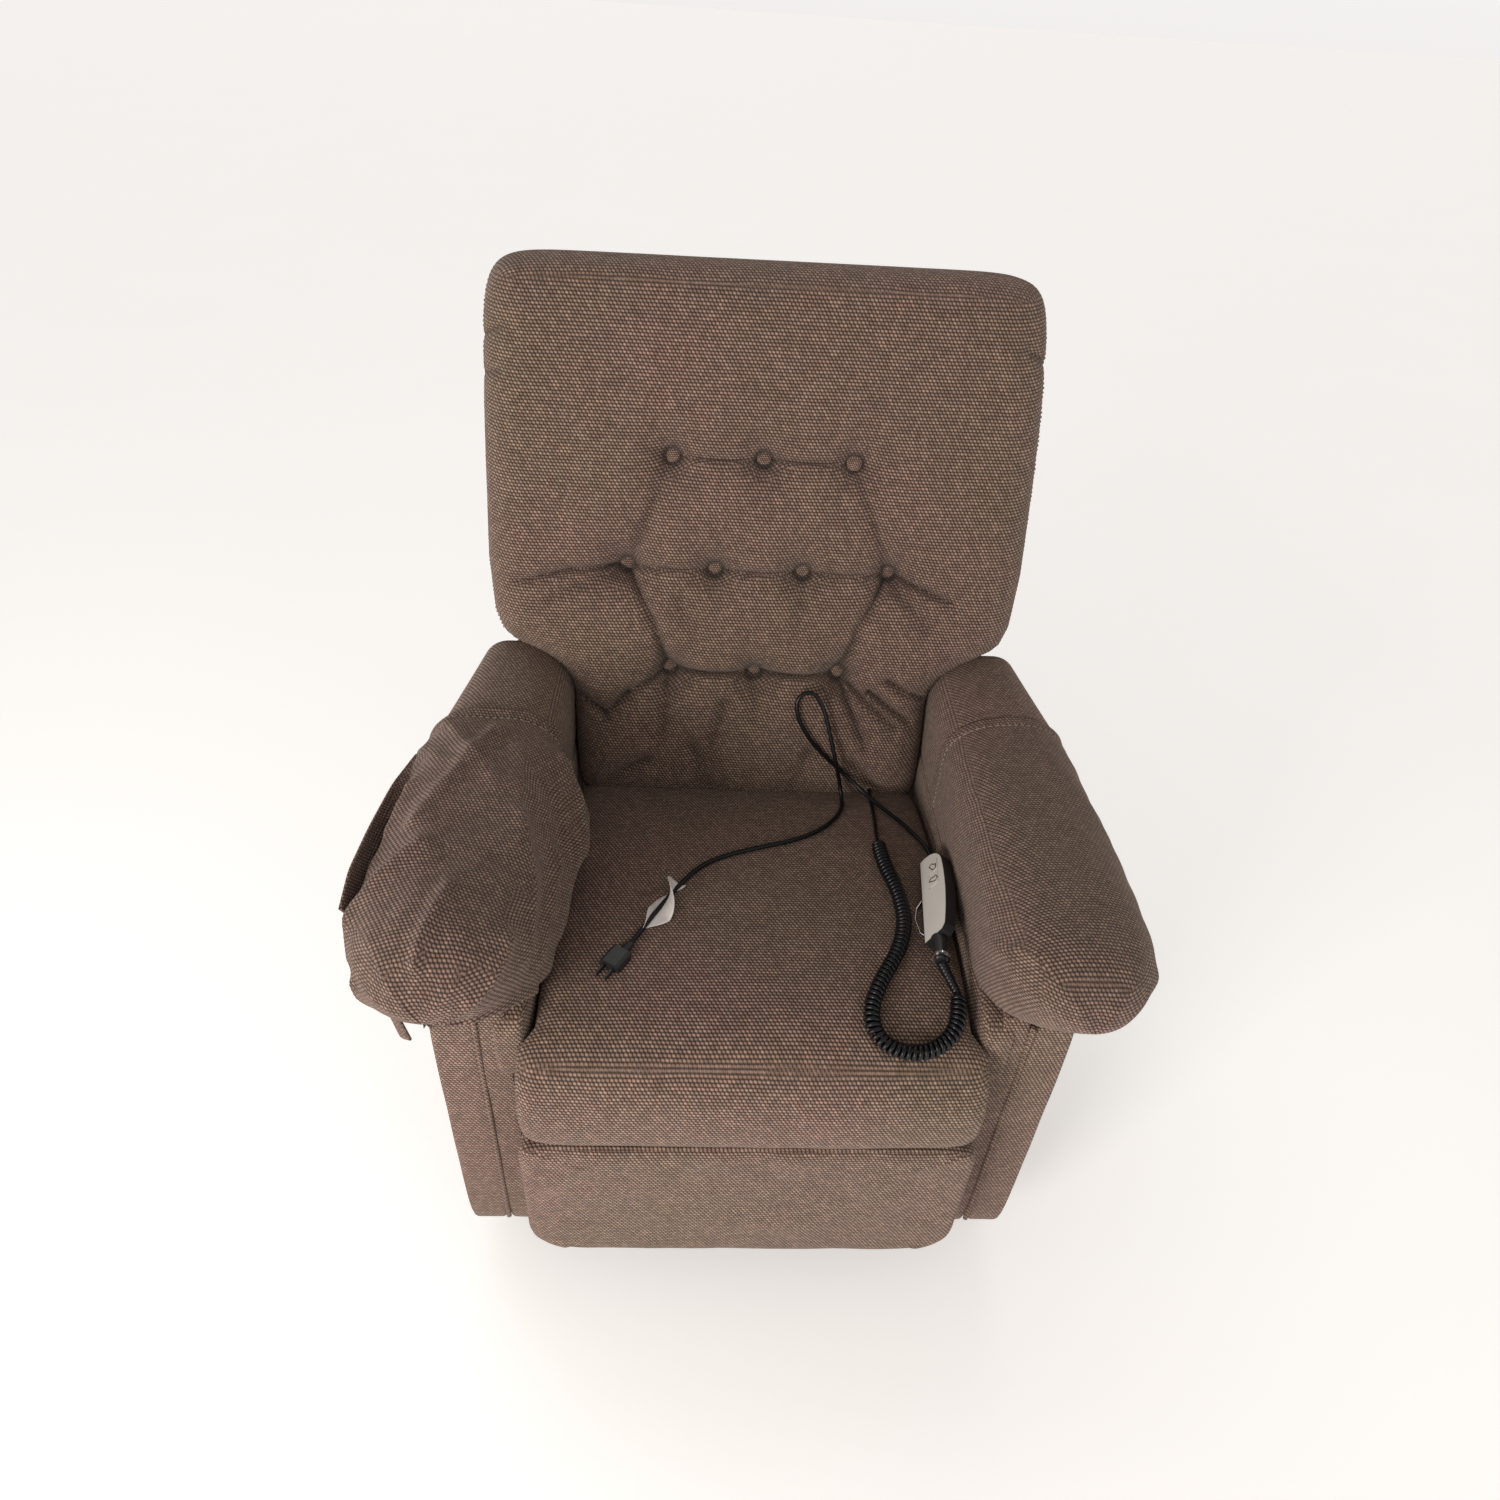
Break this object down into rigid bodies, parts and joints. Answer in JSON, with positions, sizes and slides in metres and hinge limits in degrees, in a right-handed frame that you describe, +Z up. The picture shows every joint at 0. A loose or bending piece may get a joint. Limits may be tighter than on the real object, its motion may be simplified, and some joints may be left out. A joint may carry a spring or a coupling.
{
  "type": "lift recliner chair",
  "caption": "Upholstered recliner chair with a button-tufted back, roll arms, folding footrest, steel lift base and a corded handset.",
  "frame": {"origin": "on the floor under the middle of the chair, cords left out", "axes": "+X to the right seen from the front, +Y towards the back, +Z up; the chair faces -Y"},
  "size_m": [0.8642, 0.8636, 1.1149],
  "materials": {
    "woven_fabric": "chunky basket weave",
    "black_steel": "satin powder coat",
    "frame_wood": "sawn plywood and pine",
    "zinc_steel": "zinc plated",
    "black_plastic": "moulded",
    "cord_rubber": "semi-gloss cord sheath",
    "handset_face": "satin moulded",
    "bright_metal": "polished wire"
  },
  "bodies": {
    "base": {"base_side_rails": "black_steel", "base_cross_tubes": "black_steel", "rail_end_caps": "black_plastic", "floor_glides": "black_plastic", "base_pivot_brackets": "black_steel", "actuator_base_bracket": "black_steel", "base_pins": "zinc_steel"},
    "lift_arms": {"lift_arms": "black_steel", "lift_torque_tube": "black_steel"},
    "guide_links": {"guide_links": "black_steel"},
    "actuator": {"actuator_gear_housing": "black_plastic", "actuator_motor": "black_steel", "actuator_outer_tube": "black_steel"},
    "actuator_rod": {"actuator_rod": "zinc_steel", "actuator_rod_eye": "black_steel"},
    "chair": {"carriage_plates": "black_steel", "carriage_pins": "zinc_steel", "carriage_cross_tubes": "black_steel", "mechanism_plates": "black_steel", "seat_box_rails": "frame_wood", "rail_screws": "zinc_steel", "seat_springs": "zinc_steel", "pivot_pins": "zinc_steel", "control_box": "black_plastic", "power_supply": "black_plastic", "control_tray": "black_steel", "seat_cushion": "woven_fabric", "arm_frames": "frame_wood", "arm_roll_right": "woven_fabric", "arm_roll_left": "woven_fabric", "arm_cover_right": "woven_fabric", "arm_cover_left": "woven_fabric", "arm_panel_right": "woven_fabric", "arm_panel_left": "woven_fabric", "front_posts": "woven_fabric", "post_piping": "woven_fabric", "handset_body": "black_plastic", "handset_faceplate": "handset_face", "handset_hanger": "bright_metal", "mains_gland": "black_plastic", "lead_gland": "black_plastic", "mains_cord": "cord_rubber", "mains_plug": "black_plastic", "handset_lead": "cord_rubber", "handset_coil": "cord_rubber"},
    "scissor_a": {"scissor_links_a": "black_steel", "scissor_middle_pins": "zinc_steel", "scissor_torque_tube": "black_steel"},
    "scissor_b": {"scissor_links_b": "black_steel", "scissor_b_pins": "zinc_steel"},
    "footrest": {"footrest_brackets": "black_steel", "footrest_board": "frame_wood", "footrest_cushion": "woven_fabric"},
    "back": {"back_cushion": "woven_fabric", "back_frame": "frame_wood", "back_rear_cover": "woven_fabric", "back_buttons": "woven_fabric", "back_brackets": "black_steel"},
    "button_up": {"handset_button_up": "handset_face"},
    "button_down": {"handset_button_down": "handset_face"}
  },
  "joints": [
    {"name": "lift_arm_hinge", "type": "hinge", "parent": "base", "child": "lift_arms", "pos_m": [0, -0.23, 0.095], "axis": [1, 0, 0], "range_deg": [0, 50]},
    {"name": "carriage_tilt", "type": "hinge", "parent": "lift_arms", "child": "chair", "pos_m": [0, 0.17, 0.095], "axis": [1, 0, 0], "range_deg": [-24, 0]},
    {"name": "guide_link_hinge", "type": "hinge", "parent": "base", "child": "guide_links", "pos_m": [0, -0.2705, 0.0815], "axis": [1, 0, 0], "range_deg": [0, 56.6]},
    {"name": "actuator_swing", "type": "hinge", "parent": "base", "child": "actuator", "pos_m": [0, 0.27, 0.075], "axis": [1, 0, 0], "range_deg": [0, 3.3]},
    {"name": "actuator_stroke", "type": "slide", "parent": "actuator", "child": "actuator_rod", "axis": [0, -0.9735, 0.2287], "range_m": [0, 0.0756]},
    {"name": "footrest_scissor", "type": "hinge", "parent": "chair", "child": "scissor_a", "pos_m": [0, -0.25, 0.31], "axis": [-1, 0, 0], "range_deg": [0, 56]},
    {"name": "scissor_cross", "type": "hinge", "parent": "scissor_a", "child": "scissor_b", "pos_m": [0, -0.29495, 0.19874], "axis": [1, 0, 0], "range_deg": [0, 112]},
    {"name": "footrest_tilt", "type": "hinge", "parent": "scissor_b", "child": "footrest", "pos_m": [0, -0.33991, 0.31], "axis": [-1, 0, 0], "range_deg": [0, 140]},
    {"name": "back_recline", "type": "hinge", "parent": "chair", "child": "back", "pos_m": [0, 0.19, 0.4], "axis": [-1, 0, 0], "range_deg": [0, 40]},
    {"name": "button_up_press", "type": "slide", "parent": "chair", "child": "button_up", "axis": [0.8573, -0.1404, -0.4953], "range_m": [0, 0.0012], "stiffness_N_per_m": 400, "springref_m": -0.0008},
    {"name": "button_down_press", "type": "slide", "parent": "chair", "child": "button_down", "axis": [0.8573, -0.1404, -0.4953], "range_m": [0, 0.0012], "stiffness_N_per_m": 400, "springref_m": -0.0008}
  ],
  "couplings": [
    {"joint": "carriage_tilt", "follows": "lift_arm_hinge", "ratio": -0.48},
    {"joint": "guide_link_hinge", "follows": "lift_arm_hinge", "ratio": 1.1283},
    {"joint": "actuator_swing", "follows": "lift_arm_hinge", "ratio": 0.061921},
    {"joint": "actuator_stroke", "follows": "lift_arm_hinge", "m_per_rad": 0.086115},
    {"joint": "scissor_cross", "follows": "footrest_scissor", "ratio": 2},
    {"joint": "footrest_tilt", "follows": "footrest_scissor", "ratio": 2.5}
  ]
}
